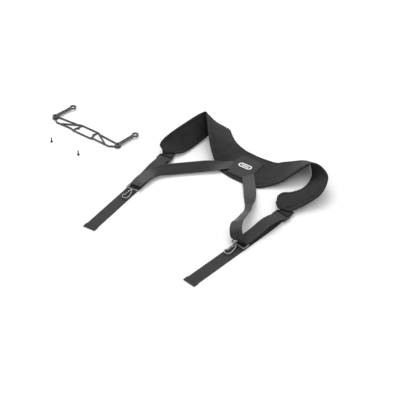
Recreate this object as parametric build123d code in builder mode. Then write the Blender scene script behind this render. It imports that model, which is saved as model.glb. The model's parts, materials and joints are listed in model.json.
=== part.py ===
from build123d import *
import os
from math import atan2, cos, degrees, radians, sin

# Chest harness for a hand-held controller, laid out flat on a table with its folding
# bracket and the two screws that fasten the bracket. Millimetres, +Z up. The origin is on
# the table under the middle of the back pad, +X is across the wearer's back and +Y runs
# towards the neck. "Left" is -X and "right" is +X throughout.

os.makedirs("parts", exist_ok=True)

# ---- webbing and satin tape ----
web_width = 38.0
web_thick = 1.6
satin_thick = 1.4
hem_length = 17.0
hem_extra = 1.0            # how much wider than the webbing the folded hem is, each side
sharp_turn = 9.0           # degrees between two stations that call for one more
joint_gap = 0.3            # space left where one length of webbing is cut for a fold
cut_gap = 1.2              # space left at the buckle, where two runs meet at a slight angle

# ---- padded yoke ----
foam_thick = 4.4
skin_thick = 0.8
binding_width = 6.0
binding_proud = 0.4        # the binding tape stands this far above the outer face
tip_length = 4.0           # rounded closing of the binding at each pad end
tip_inset = 5.0

# ---- wire rings ----
ring_wire = 3.2
ring_depth = 24.8          # over the outside of both long bars
ring_side_play = 1.8       # webbing edge to wire
ring_corner = ring_side_play + ring_wire / 2 - 0.2   # the bar is straight under the webbing
ring_height = 6.6          # axis of the wire above the table
loop_clear = 0.15          # webbing to the bar that it turns round
ring_lap = 24.0            # webbing folded back and sewn to itself behind the ring
pad_loop_reach = 10.0      # rear bar to the end of the short loop under the pad

# ---- ladder-lock buckles ----
bar_radius = 2.0
front_bar_radius = 1.8
bar_pitch = 10.5           # bar to bar, along the strap
buckle_height = 8.0        # axis of the bars above the table
rail_width = 4.4
rail_height = 5.6
rail_clear = 0.6           # webbing edge to buckle rail
bight_length = 16.0        # webbing that tilts with the buckle, measured from its middle bar
tail_drop = 42.0           # run over which the tail comes down to the table

# ---- swivel snap hooks ----
eye_major = 3.4
eye_wire = 1.0             # radius
stem_radius = 1.5
stem_clear = 0.06
boss_radius = 4.0
boss_start = 5.6           # from the ring's bar to the hook's shoulder
boss_length = 7.0
head_radius = 2.5
head_length = 1.6
hook_wire = 1.7            # radius
bow_half_width = 9.5
hook_length = 49.0         # ring bar to the far end of the bow
gate_wire = 1.5            # radius
gate_pin_radius = 0.8
gate_pin_length = 4.6
gate_clear = 0.15
lug_radius = 2.5
cheek_thick = 1.2
tongue_thick = 1.4
nose_overlap = 3.4

# ---- folding bracket ----
hub_spacing = 278.0
hub_radius = 10.0
rail_thick = 4.0
truss_height = 5.0
window_half = 36.0
window_top = 19.0
window_bottom = -20.0
side_rail_top = 14.0
side_rail_bottom = -15.5
boss_spacing = 68.0
boss_outer = 4.6
screw_hole = 2.25          # clearance radius for an M4 screw
diagonal_foot = 40.0       # hub to the foot of the diagonal
knee_distance = 24.0       # hub to the bend in the lower rail
hub_overlap = 5.0          # how far the rails run into each hub
arm_length = 78.0
arm_width = 9.0
arm_height = 6.2
arm_gap = 0.3              # washer space between arm and truss
channel_width = 4.6
channel_depth = 1.9
eyelet_outer = 11.5
eyelet_hole = 6.6
eyelet_height = 5.0
arm_hub_radius = 9.4
shoulder_radius = 3.0
shoulder_clear = 0.05
pivot_thread = 2.4
pivot_head = 4.6
pivot_head_height = 2.2
bracket_centre = (-520.0, -147.0)
arm_lean = 4.0             # both arms lie turned this much towards +X

# ---- M4 mounting screws ----
screw_radius = 2.0
screw_length = 14.0
screw_head = 4.0
screw_head_height = 3.0
socket_flats = 2.5
socket_depth = 1.8

# ---- centre patch ----
patch_centre = (8.0, -1.0)
patch_base = 5.9
patch_thick = 3.1
mark_thick = 0.4

# Stations along the yoke, from the left pad end round to the right pad end. Each gives the
# neck edge and the armhole edge of the pad's middle surface.
yoke_edges = [
    ((-216, -86, 13), (-243, -92, 18)),
    ((-200, -76, 11), (-258, -86, 25)),
    ((-189, -56, 8), (-261, -68, 35)),
    ((-186, -26, 5), (-246, -40, 56)),
    ((-186, 20, 4), (-236, 12, 66)),
    ((-188, 70, 4), (-230, 66, 70)),
    ((-190, 108, 4), (-222, 98, 72)),
    ((-184, 127, 5), (-214, 96, 73)),
    ((-172, 139, 5), (-203, 83, 71)),
    ((-150, 140, 7), (-180, 58, 66)),
    ((-118, 113, 7), (-145, 18, 57)),
    ((-85, 92, 6), (-105, -21, 35)),
    ((-45, 81, 2.9), (-56, -51, 2.9)),
    ((-20, 78, 2.9), (-22, -61, 2.9)),
    ((15, 76, 2.9), (18, -66, 2.9)),
    ((68, 82, 2.9), (90, -62, 2.9)),
    ((86, 98, 4), (124, -34, 9)),
    ((104, 116, 4), (150, -4, 20)),
    ((128, 140, 4), (176, 44, 45)),
    ((152, 146, 4), (196, 72, 60)),
    ((174, 122, 4), (222, 80, 60)),
    ((194, 90, 4), (258, 66, 52)),
    ((205, 50, 4), (276, 34, 46)),
    ((206, 10, 7), (282, -10, 34)),
    ((194, -28, 13), (266, -54, 20)),
    ((178, -48, 16), (250, -88, 13)),
    ((176, -72, 18), (242, -108, 13)),
    ((187, -96, 17), (219, -112, 14)),
]

# Stations along each satin side strap, from the patch to the ring. Each gives two points
# that the strap's edges pass; the width itself comes from web_width.
left_side_edges = [
    ((-34.3, -12.2, 7.8), (-21.1, -47.9, 7.8)),
    ((-54, -17, 11.0), (-28, -45, 10.0)),
    ((-76, -47, 22.0), (-52, -74, 10.0)),
    ((-94, -70, 27.0), (-72, -94, 8.0)),
    ((-129, -107, 27.0), (-108, -131, 7.0)),
    ((-163, -142, 27.0), (-141, -166, 7.0)),
    ((-190, -174, 27.0), (-168, -199, 10.0)),
    ((-208, -205, 20.0), (-174, -219, 13.0)),
    ((-212, -240, 13.0), (-174, -243, 12.0)),
    ((-212, -258, 11.6), (-174, -261, 11.6)),
    ((-211, -270, 11.2), (-173, -274, 11.2)),
]
right_side_edges = [
    ((36.6, -49.3, 7.8), (49.8, -13.7, 7.8)),
    ((33, -58, 9.0), (60, -32, 9.0)),
    ((44, -73, 8.4), (72, -48, 8.8)),
    ((70, -99, 5.0), (99, -74, 9.5)),
    ((103, -135, 5.0), (135, -126, 20.0)),
    ((120, -157, 7.0), (150, -162, 29.0)),
    ((132, -180, 9.0), (162, -188, 31.0)),
    ((138, -208, 14.0), (168, -207, 36.0)),
    ((144, -237, 20.0), (174, -227, 40.0)),
    ((151, -270, 31.0), (184, -257, 46.0)),
    ((167, -297, 32.0), (200, -287, 45.0)),
    ((180, -312, 25.0), (216, -301, 31.0)),
    ((189, -310, 16.0), (226, -304, 17.0)),
    ((192, -300, 12.4), (229, -295, 12.4)),
    ((192, -288, 11.2), (230, -283, 11.2)),
    ((194, -274, 11.4), (232, -269, 11.4)),
]

# Where each front strap's ring bar and buckle bar stand, and where its tail ends.
sides = {
    "left": {"ring": (-193, -273), "buckle": (-216, -112), "tail_end": (-171, -503)},
    "right": {"ring": (207, -290), "buckle": (228.5, -132), "tail_end": (189, -508)},
}
fold_distance = 125.0      # ring bar to the line where the tail can be folded over


def save(piece, name):
    piece.part.label = name
    export_step(piece.part, f"parts/{name}.step")


# ---- frames ----

def station_planes(edges):
    """A plane at each station: x across the band, y out of its outer face."""
    middles = [(Vector(*first) + Vector(*second)) / 2 for first, second in edges]
    planes = []
    for index, (first, second) in enumerate(edges):
        across = (Vector(*second) - Vector(*first)).normalized()
        before = middles[max(index - 1, 0)]
        after = middles[min(index + 1, len(edges) - 1)]
        outward = across.cross(after - before).normalized()
        planes.append(Plane(origin=middles[index], x_dir=across, z_dir=across.cross(outward)))
    return planes


def between(points):
    """Point half way along a smooth curve through four points, between the middle two.

    It is never lower than both of those, so that a band doesn't dip into the table."""
    before, first, second, after = [Vector(*point) for point in points]
    middle = ((first + second) * 9 - before - after) / 16
    return (middle.X, middle.Y, max(middle.Z, min(first.Z, second.Z)))


def smoothed(edges):
    """The same stations, with one more on the curve wherever the band turns sharply."""
    last = len(edges) - 1
    planes = station_planes(edges)
    finer = [edges[0]]
    for index in range(last):
        if planes[index].y_dir.get_angle(planes[index + 1].y_dir) > sharp_turn:
            four = [edges[max(index - 1, 0)], edges[index], edges[index + 1],
                    edges[min(index + 2, last)]]
            finer.append((between([pair[0] for pair in four]), between([pair[1] for pair in four])))
        finer.append(edges[index + 1])
    return finer


def edge_widths(edges):
    return [(Vector(*second) - Vector(*first)).length for first, second in edges]


def run_plane(start, end, height=0.0):
    """Vertical plane along a strap: x from start towards end, y up, z to the wearer's right."""
    along = Vector(end[0] - start[0], end[1] - start[1], 0).normalized()
    across = along.cross(Vector(0, 0, 1))
    return Plane(origin=(start[0], start[1], height), x_dir=along, z_dir=across)


def point_along(start, end, distance):
    along = Vector(end[0] - start[0], end[1] - start[1], 0).normalized()
    return (start[0] + along.X * distance, start[1] + along.Y * distance)


def distance_between(start, end):
    return Vector(end[0] - start[0], end[1] - start[1], 0).length


# ---- bands ----

def band(planes, spans, low, high):
    """Flat-sided band lofted through the stations, between two heights off its middle."""
    with BuildPart() as piece:
        for plane, (start, stop) in zip(planes, spans):
            with BuildSketch(plane):
                with Locations(((start + stop) / 2, (low + high) / 2)):
                    Rectangle(stop - start, high - low)
        loft(ruled=True)
    return piece


def trimmed(widths, inset):
    return [(-width / 2 + inset, width / 2 - inset) for width in widths]


# ---- yoke ----

yoke_stations = smoothed(yoke_edges)
yoke_planes = station_planes(yoke_stations)
yoke_widths = edge_widths(yoke_stations)
half_foam = foam_thick / 2
half_pad = half_foam + skin_thick


def yoke_layer(name, low, high):
    """One layer of the pad, flat underneath where it is pressed on the table."""
    with BuildPart() as layer:
        add(band(yoke_planes, trimmed(yoke_widths, binding_width), low, high).part)
        split(bisect_by=Plane.XY, keep=Keep.TOP)
    save(layer, name)


yoke_layer("yoke_foam", -half_foam, half_foam)
yoke_layer("yoke_cover", half_foam, half_pad)
yoke_layer("yoke_lining", -half_pad, -half_foam)


def pad_tip(station, toward_start):
    """Binding that closes a pad end, narrowing beyond the last station."""
    plane = yoke_planes[station]
    step = tip_length if toward_start else -tip_length
    beyond = plane.offset(step)
    width = yoke_widths[station]
    return band([plane, beyond], trimmed([width, width - 2 * tip_inset], 0),
                -half_pad, half_pad + binding_proud)


neck_spans = [(-width / 2, -width / 2 + binding_width) for width in yoke_widths]
armhole_spans = [(width / 2 - binding_width, width / 2) for width in yoke_widths]
with BuildPart() as edge_binding:
    add(band(yoke_planes, neck_spans, -half_pad, half_pad + binding_proud).part)
    add(band(yoke_planes, armhole_spans, -half_pad, half_pad + binding_proud).part)
    add(pad_tip(0, True).part)
    add(pad_tip(len(yoke_planes) - 1, False).part)
    split(bisect_by=Plane.XY, keep=Keep.TOP)
save(edge_binding, "edge_binding")

# ---- centre patch and its raised mark ----

patch_outline = [(-40, 50), (40, 50), (44, -6), (27, -52), (-27, -52), (-44, -6)]
with BuildPart() as centre_patch:
    with BuildSketch(Plane.XY.offset(patch_base)) as outline:
        with Locations(patch_centre):
            Polygon(*patch_outline, align=None)
        fillet(outline.vertices(), radius=6)
    extrude(amount=patch_thick)
    top_rim = centre_patch.faces().sort_by(Axis.Z)[-1].edges()
    fillet(top_rim, radius=0.6)
save(centre_patch, "centre_patch")

with BuildPart() as patch_mark:
    with BuildSketch(Plane.XY.offset(patch_base + patch_thick)):
        with Locations((patch_centre[0], patch_centre[1] + 4)):
            SlotOverall(46, 20)
            SlotOverall(38, 12, mode=Mode.SUBTRACT)
            SlotOverall(26, 4)
    extrude(amount=mark_thick)
save(patch_mark, "patch_mark")


# ---- webbing, rings, buckles and hooks of one side ----

half_web = web_width / 2
ring_turn = ring_wire / 2 + loop_clear + web_thick / 2
bar_turn = bar_radius + loop_clear + web_thick / 2


def side_strap(name, edges):
    planes = station_planes(smoothed(edges))
    strap = band(planes, trimmed([web_width] * len(planes), 0),
                 -satin_thick / 2, satin_thick / 2)
    save(strap, name)


def extruded_run(plane, corners, name=None, width=web_width, thick=web_thick):
    """Webbing that follows a line of corners in a vertical plane."""
    with BuildPart() as run:
        with BuildSketch(plane):
            with BuildLine():
                Polyline(*corners)
            trace(line_width=thick)
        extrude(amount=width / 2, both=True)
    if name:
        save(run, name)
    return run


def front_strap(side, name):
    """Load-carrying run from the ring's rear bar up to the buckle, lapped at the ring."""
    plane = run_plane(side["ring"], side["buckle"])
    length = distance_between(side["ring"], side["buckle"])
    top = ring_height + ring_turn
    end = length - bight_length
    end_height = buckle_height + bar_turn
    slope = (end_height - top) / end
    with BuildPart() as strap:
        with BuildSketch(plane):
            with BuildLine():
                lap_height = top + slope * ring_lap - web_thick
                Line((ring_lap, lap_height), (0, ring_height - ring_turn))
                CenterArc((0, ring_height), ring_turn, 270, -180)
                Line((0, top), (end - cut_gap, end_height))
            trace(line_width=web_thick)
        extrude(amount=half_web, both=True)
    save(strap, name)


def strap_bight(side, name):
    """Webbing turned round the buckle's middle bar."""
    plane = run_plane(side["ring"], side["buckle"])
    bar = distance_between(side["ring"], side["buckle"])
    start = bar - bight_length
    with BuildPart() as bight:
        with BuildSketch(plane):
            with BuildLine():
                Line((start, buckle_height + bar_turn), (bar, buckle_height + bar_turn))
                CenterArc((bar, buckle_height), bar_turn, 90, -180)
                Line((bar, buckle_height - bar_turn), (start, buckle_height - bar_turn))
            trace(line_width=web_thick)
        extrude(amount=half_web, both=True)
    save(bight, name)


def tail_frame(side):
    """Start of the tail under the buckle, its end, and the two distances along it."""
    start = point_along(side["buckle"], side["ring"], bight_length + cut_gap)
    total = distance_between(start, side["tail_end"])
    fold = distance_between(start, side["ring"]) + fold_distance
    return start, side["tail_end"], total, fold


def tail_run(side, name):
    """Return run of webbing, from the buckle down to the table and under the ring."""
    start, end, _, fold = tail_frame(side)
    ground = web_thick / 2
    corners = [(0, buckle_height - bar_turn), (tail_drop, ground), (fold - joint_gap / 2, ground)]
    extruded_run(run_plane(start, end), corners, name)


def free_tail(side, name):
    start, end, total, fold = tail_frame(side)
    ground = web_thick / 2
    corners = [(fold + joint_gap / 2, ground), (total - hem_length, ground)]
    extruded_run(run_plane(start, end), corners, name)


def tail_hem(side, name):
    """Folded and stitched end of the tail, three layers thick at its end."""
    start, end, total = tail_frame(side)[:3]
    with BuildPart() as hem:
        with BuildSketch(run_plane(start, end)) as profile:
            Polygon((total - hem_length, 0), (total, 0), (total, web_thick * 2),
                    (total - hem_length, web_thick * 2), align=None)
            fillet(profile.vertices(), radius=0.7)
        extrude(amount=half_web + hem_extra, both=True)
    save(hem, name)


def pad_loop(side, name):
    """Webbing round the buckle's rear bar, with both its ends lying together."""
    bar = distance_between(side["ring"], side["buckle"]) + bar_pitch
    plane = run_plane(side["ring"], side["buckle"], buckle_height)
    with BuildPart() as loop:
        with BuildSketch(plane):
            with BuildLine():
                Line((bar + pad_loop_reach, -web_thick / 2), (bar, -bar_turn))
                CenterArc((bar, 0), bar_turn, 270, -180)
                Line((bar, bar_turn), (bar + pad_loop_reach, web_thick / 2))
            trace(line_width=web_thick)
        extrude(amount=half_web, both=True)
    save(loop, name)


def buckle(side, name):
    """Ladder lock: two rails and three bars, the webbing turning round the middle one."""
    middle = distance_between(side["ring"], side["buckle"])
    plane = run_plane(side["ring"], side["buckle"], buckle_height)
    inner = half_web + rail_clear
    bars = [(middle - bar_pitch, front_bar_radius), (middle, bar_radius),
            (middle + bar_pitch, bar_radius)]
    with BuildPart() as body:
        for rail_start in (inner, -inner - rail_width):
            with BuildSketch(plane.offset(rail_start)):
                with Locations((middle, 0)):
                    SlotOverall(2 * bar_pitch + rail_height, rail_height)
            extrude(amount=rail_width)
        for position, radius in bars:
            with BuildSketch(plane.offset(-inner)):
                with Locations((position, 0)):
                    Circle(radius)
            extrude(amount=2 * inner)
    save(body, name)


def ring(side, name):
    """Rectangular wire ring, flat, its rear bar on the strap's loop."""
    half_width = half_web + ring_side_play + ring_wire / 2
    depth = ring_depth - ring_wire
    flat = flat_frame(side)
    with BuildPart() as wire:
        with BuildLine(flat):
            path = FilletPolyline((half_width, 0), (half_width, -depth), (-half_width, -depth),
                                  (-half_width, 0), radius=ring_corner, close=True)
        with BuildSketch(Plane(origin=path @ 0, z_dir=path % 0)):
            Circle(ring_wire / 2)
        sweep()
    save(wire, name)


def flat_frame(side, offset=0.0):
    """Horizontal plane at the ring's height: x across, y up the strap, origin on a bar."""
    along = Vector(side["buckle"][0] - side["ring"][0],
                   side["buckle"][1] - side["ring"][1], 0).normalized()
    across = along.cross(Vector(0, 0, 1))
    origin = Vector(side["ring"][0], side["ring"][1], ring_height) + along * offset
    return Plane(origin=origin, x_dir=across, z_dir=(0, 0, 1))


def swivel_eye(side, name):
    """Eye round the ring's front bar, on a headed stem that turns in the hook's boss."""
    flat = flat_frame(side, -(ring_depth - ring_wire))
    upright = Plane(origin=flat.origin, x_dir=flat.y_dir, z_dir=flat.x_dir)
    head_end = boss_start + boss_length - 1.0
    neck = eye_major + 0.15
    with BuildPart() as eye:
        with BuildSketch(Plane(origin=upright.from_local_coords(Vector(eye_major, 0, 0)),
                               x_dir=upright.x_dir, z_dir=upright.y_dir)):
            Circle(eye_wire)
        revolve(axis=Axis(upright.origin, upright.z_dir), revolution_arc=360)
        with BuildSketch(flat):
            with BuildLine():
                Polyline((0, -neck), (stem_radius, -neck),
                         (stem_radius, -head_end + head_length), (head_radius, -head_end + head_length),
                         (head_radius, -head_end), (0, -head_end), (0, -neck))
            make_face()
        revolve(axis=Axis(flat.origin, flat.y_dir), revolution_arc=360)
    save(eye, name)


gate_hinge = (-3.4, -(boss_start + boss_length + 2.2))
nose_end = -(hook_length - hook_wire - bow_half_width - 4.0)
gate_tip = (-bow_half_width + hook_wire + gate_clear + gate_wire, nose_end - nose_overlap)


def hook(side, name):
    """Snap hook: bored boss, bent wire bow, and the forked lug for the gate."""
    flat = flat_frame(side, -(ring_depth - ring_wire))
    boss_end = boss_start + boss_length
    head_room = head_length + 1.0 + 0.3
    bottom = -(hook_length - hook_wire)
    wire_start = head_radius + 0.2 + hook_wire
    with BuildPart() as body:
        with BuildSketch(flat):
            with BuildLine():
                Polyline((stem_radius + stem_clear, -boss_start),
                         (boss_radius - 0.8, -boss_start), (boss_radius, -boss_start - 0.8),
                         (boss_radius, -boss_end), (head_radius + 0.2, -boss_end),
                         (head_radius + 0.2, -boss_end + head_room),
                         (stem_radius + stem_clear, -boss_end + head_room),
                         (stem_radius + stem_clear, -boss_start))
            make_face()
        revolve(axis=Axis(flat.origin, flat.y_dir), revolution_arc=360)
        with BuildLine(flat):
            path = FilletPolyline((wire_start, -boss_end + 1.4), (bow_half_width, -boss_end - 20),
                                  (bow_half_width, bottom), (-bow_half_width, bottom),
                                  (-bow_half_width, nose_end), radius=bow_half_width - 0.2)
        with BuildSketch(Plane(origin=path @ 0, z_dir=path % 0)):
            Circle(hook_wire)
        sweep()
        for low in (tongue_thick / 2 + gate_clear, -tongue_thick / 2 - gate_clear - cheek_thick):
            with BuildSketch(flat.offset(low)):
                with Locations(gate_hinge):
                    Circle(lug_radius)
                Polygon((gate_hinge[0] - lug_radius, gate_hinge[1]), (-boss_radius, -boss_end + 2),
                        (-head_radius - 0.2, -boss_end + 2),
                        (gate_hinge[0] + lug_radius, gate_hinge[1]), align=None)
                with Locations(gate_hinge):
                    Circle(gate_pin_radius + 0.02, mode=Mode.SUBTRACT)
            extrude(amount=cheek_thick)
    save(body, name)


def gate(side, name):
    """Sprung gate: a pierced tongue on the pin and a round rod that meets the nose inside."""
    flat = flat_frame(side, -(ring_depth - ring_wire))
    root = Vector(gate_hinge[0], gate_hinge[1], 0)
    tip = Vector(gate_tip[0], gate_tip[1], 0)
    along = (tip - root).normalized()
    rod_start = root + along * (lug_radius + 0.5)
    start_point = flat.from_local_coords(rod_start)
    direction = flat.from_local_coords(along) - flat.origin
    with BuildPart() as body:
        with BuildSketch(flat.offset(-tongue_thick / 2)):
            with Locations(gate_hinge):
                Circle(lug_radius - 0.6)
            middle = root + along * (lug_radius + 1.0) / 2
            turn = degrees(atan2(along.Y, along.X))
            with Locations(Location((middle.X, middle.Y, 0), (0, 0, turn))):
                Rectangle(lug_radius + 3.0, 2 * gate_wire - 0.4)
            with Locations(gate_hinge):
                Circle(gate_pin_radius + shoulder_clear, mode=Mode.SUBTRACT)
        extrude(amount=tongue_thick)
        with BuildSketch(Plane(origin=start_point, z_dir=direction)):
            Circle(gate_wire)
        extrude(amount=(tip - rod_start).length)
        fillet(body.edges().filter_by(GeomType.CIRCLE).sort_by(Axis(start_point, direction))[-1],
               radius=0.8)
    save(body, name)


def gate_pin(side, name):
    flat = flat_frame(side, -(ring_depth - ring_wire))
    with BuildPart() as pin:
        with BuildSketch(flat.offset(-gate_pin_length / 2)):
            with Locations(gate_hinge):
                Circle(gate_pin_radius)
        extrude(amount=gate_pin_length)
    save(pin, name)


side_strap("left_side_strap", left_side_edges)
side_strap("right_side_strap", right_side_edges)
for word, side in sides.items():
    front_strap(side, f"{word}_front_strap")
    strap_bight(side, f"{word}_strap_bight")
    tail_run(side, f"{word}_tail_run")
    free_tail(side, f"{word}_free_tail")
    tail_hem(side, f"{word}_tail_hem")
    pad_loop(side, f"{word}_pad_loop")
    buckle(side, f"{word}_buckle")
    ring(side, f"{word}_ring")
    swivel_eye(side, f"{word}_swivel_eye")
    hook(side, f"{word}_hook")
    gate(side, f"{word}_gate")
    gate_pin(side, f"{word}_gate_pin")


# ---- folding bracket ----

bracket_plane = Plane(origin=(bracket_centre[0], bracket_centre[1], 0))
half_hubs = hub_spacing / 2
half_bosses = boss_spacing / 2
bosses = [(-half_bosses, 0), (half_bosses, 0)]


def side_rails(turn):
    """Lines of the lattice on one side of the window: both rails and the diagonal."""
    corner = turn * window_half
    step = turn * (window_half + 15)
    foot = turn * (half_hubs - diagonal_foot)
    knee = turn * (half_hubs - knee_distance)
    hub_edge = turn * (half_hubs - hub_overlap)
    return [
        [(corner, window_top), (step, side_rail_top), (hub_edge, 8)],
        [(corner, window_bottom), (step, side_rail_bottom), (knee, side_rail_bottom - 2),
         (hub_edge, -6)],
        [(corner, window_top), (foot, side_rail_bottom)],
        [(turn * half_bosses, 0), (corner, window_top)],
    ]


lattice = [[(-window_half, window_top), (window_half, window_top)],
           [(-window_half, window_bottom), (window_half, window_bottom)]]
lattice += side_rails(-1) + side_rails(1)
with BuildPart() as truss:
    with BuildSketch(bracket_plane):
        for points in lattice:
            with BuildLine():
                Polyline(*points)
            trace(line_width=rail_thick)
        for turn in (-1, 1):
            with BuildLine():
                ThreePointArc((turn * window_half, window_bottom), (turn * (window_half + 3), -10),
                              (turn * half_bosses, 0))
            trace(line_width=rail_thick)
        with Locations((-half_hubs, 0), (half_hubs, 0)):
            Circle(hub_radius)
        with Locations(*bosses):
            Circle(boss_outer)
            Circle(screw_hole, mode=Mode.SUBTRACT)
        with Locations((-half_hubs, 0), (half_hubs, 0)):
            Circle(pivot_thread + 0.02, mode=Mode.SUBTRACT)
    extrude(amount=truss_height)
save(truss, "bracket_truss")

arm_base = truss_height + arm_gap


def arm_plane(turn, height):
    lean = radians(-arm_lean)
    hub = (bracket_centre[0] + turn * half_hubs, bracket_centre[1], height)
    return Plane(origin=hub, x_dir=(cos(lean), sin(lean), 0), z_dir=(0, 0, 1))


def bracket_arm(turn, name):
    """Channelled arm: hub on the pivot, I-section beam, and a flat eyelet at its end."""
    half_web_thick = arm_height / 2 - channel_depth
    with BuildPart() as arm:
        with BuildSketch(arm_plane(turn, arm_base)):
            Circle(arm_hub_radius)
            with Locations((0, arm_length / 2)):
                Rectangle(arm_width, arm_length)
            with Locations((0, arm_length)):
                Circle(eyelet_outer)
                Circle(eyelet_hole, mode=Mode.SUBTRACT)
            Circle(shoulder_radius + shoulder_clear, mode=Mode.SUBTRACT)
        extrude(amount=arm_height)
        channel_start = arm_hub_radius + 1
        channel_end = arm_length - eyelet_outer - 1
        for base in (arm_base, arm_base + arm_height / 2 + half_web_thick):
            with BuildSketch(arm_plane(turn, base)):
                with Locations(Location((0, (channel_start + channel_end) / 2, 0), (0, 0, 90))):
                    SlotOverall(channel_end - channel_start, channel_width)
            extrude(amount=channel_depth, mode=Mode.SUBTRACT)
        with BuildSketch(arm_plane(turn, arm_base + eyelet_height)):
            with Locations((0, arm_length)):
                Circle(eyelet_outer + 1)
        extrude(amount=arm_height, mode=Mode.SUBTRACT)
    save(arm, name)


def pivot_screw(turn, name):
    """Shoulder screw that holds an arm to the truss and is the arm's axle."""
    top = arm_base + arm_height + 0.1
    hub = (bracket_centre[0] + turn * half_hubs, bracket_centre[1])
    with BuildPart() as screw:
        with BuildSketch(Plane.XY.offset(0.4)):
            with Locations(hub):
                Circle(pivot_thread)
        extrude(amount=truss_height - 0.4)
        with BuildSketch(Plane.XY.offset(truss_height)):
            with Locations(hub):
                Circle(shoulder_radius)
        extrude(amount=top - truss_height)
        with BuildSketch(Plane.XY.offset(top)):
            with Locations(hub):
                Circle(pivot_head)
        extrude(amount=pivot_head_height)
        fillet(screw.faces().sort_by(Axis.Z)[-1].edges(), radius=0.8)
        with BuildSketch(Plane.XY.offset(top + pivot_head_height - socket_depth + 0.4)):
            with Locations(hub):
                RegularPolygon(socket_flats / 2, 6, major_radius=False)
        extrude(amount=socket_depth, mode=Mode.SUBTRACT)
    save(screw, name)


def mounting_screw(place, name):
    """M4 x 14 pan-head screw standing on its head."""
    with BuildPart() as screw:
        with BuildSketch(Plane.XY):
            with Locations(place):
                Circle(screw_head)
        extrude(amount=screw_head_height)
        fillet(screw.faces().sort_by(Axis.Z)[0].edges(), radius=1.2)
        with BuildSketch(Plane.XY.offset(screw_head_height)):
            with Locations(place):
                Circle(screw_radius)
        extrude(amount=screw_length)
        chamfer(screw.faces().sort_by(Axis.Z)[-1].edges(), length=0.5)
        with BuildSketch(Plane.XY):
            with Locations(place):
                RegularPolygon(socket_flats / 2, 6, major_radius=False)
        extrude(amount=socket_depth, mode=Mode.SUBTRACT)
    save(screw, name)


for word, turn in (("left", -1), ("right", 1)):
    bracket_arm(turn, f"{word}_bracket_arm")
    pivot_screw(turn, f"{word}_pivot_screw")
mounting_screw((bracket_centre[0] - 48, bracket_centre[1] - 108), "left_mounting_screw")
mounting_screw((bracket_centre[0] + 71, bracket_centre[1] - 109), "right_mounting_screw")
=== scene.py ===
import bpy
import json
import math
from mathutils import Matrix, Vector, noise


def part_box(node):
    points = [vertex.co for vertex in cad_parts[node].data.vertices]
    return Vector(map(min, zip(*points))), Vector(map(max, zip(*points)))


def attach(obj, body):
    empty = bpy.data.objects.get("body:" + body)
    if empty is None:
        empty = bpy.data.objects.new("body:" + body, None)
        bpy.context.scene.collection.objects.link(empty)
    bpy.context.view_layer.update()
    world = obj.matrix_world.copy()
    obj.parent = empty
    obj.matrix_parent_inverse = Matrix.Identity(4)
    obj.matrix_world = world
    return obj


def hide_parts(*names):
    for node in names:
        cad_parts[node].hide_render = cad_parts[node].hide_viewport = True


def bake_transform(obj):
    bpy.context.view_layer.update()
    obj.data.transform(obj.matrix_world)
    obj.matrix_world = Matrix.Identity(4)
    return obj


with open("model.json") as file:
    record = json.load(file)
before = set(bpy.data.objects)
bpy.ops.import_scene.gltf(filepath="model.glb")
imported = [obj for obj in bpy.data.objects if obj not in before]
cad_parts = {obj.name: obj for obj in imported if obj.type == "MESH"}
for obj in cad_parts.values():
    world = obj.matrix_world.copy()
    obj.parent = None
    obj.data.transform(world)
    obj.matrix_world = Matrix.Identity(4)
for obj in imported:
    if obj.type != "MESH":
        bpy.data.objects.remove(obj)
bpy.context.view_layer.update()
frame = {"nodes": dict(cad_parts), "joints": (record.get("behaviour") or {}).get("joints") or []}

mm = 0.001
up = Vector((0, 0, 1))
joints = {joint["name"]: joint for joint in frame["joints"]}

cameraValues = {
    "place": (1.2273, -1.8075, 1.5499), "aim": (-0.0051, -0.2072, 0.0),
    "lens": 78.3, "sensor": 36, "farthest": 50,
}
lightValues = {
    "sky": 0.86,          # brightness of the white surroundings
    "aim": (0, -0.1, 0),
    "key": 34.0, "keyPlace": (-1.2, 1.0, 2.2), "keySize": 1.9,
    "fill": 4.0, "fillPlace": (1.6, -0.6, 2.2), "fillSize": 2.4,
    "floor": 0.93, "floorHalf": 6.0,
}


def addCamera():
    data = bpy.data.cameras.new("shopCamera")
    data.lens = cameraValues["lens"]
    data.sensor_width = cameraValues["sensor"]
    data.clip_end = cameraValues["farthest"]
    camera = bpy.data.objects.new("shopCamera", data)
    camera.location = cameraValues["place"]
    look = Vector(cameraValues["aim"]) - camera.location
    camera.rotation_euler = look.to_track_quat("-Z", "Y").to_euler()
    bpy.context.scene.collection.objects.link(camera)
    bpy.context.scene.camera = camera


def addSoftLight(name, power, place, size):
    data = bpy.data.lights.new(name, "AREA")
    data.energy = power
    data.size = size
    lamp = bpy.data.objects.new(name, data)
    lamp.location = place
    aim = Vector(lightValues["aim"]) - lamp.location
    lamp.rotation_euler = aim.to_track_quat("-Z", "Y").to_euler()
    bpy.context.scene.collection.objects.link(lamp)


addCamera()
addSoftLight("keyLight", lightValues["key"], lightValues["keyPlace"], lightValues["keySize"])
addSoftLight("fillLight", lightValues["fill"], lightValues["fillPlace"], lightValues["fillSize"])
world = bpy.data.worlds.new("paleRoom")
bpy.context.scene.world = world
world.use_nodes = True
world.node_tree.nodes["Background"].inputs["Color"].default_value = (1, 1, 1, 1)
world.node_tree.nodes["Background"].inputs["Strength"].default_value = lightValues["sky"]
bpy.context.scene.view_settings.view_transform = "Standard"
print("camera and light are set")


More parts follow.
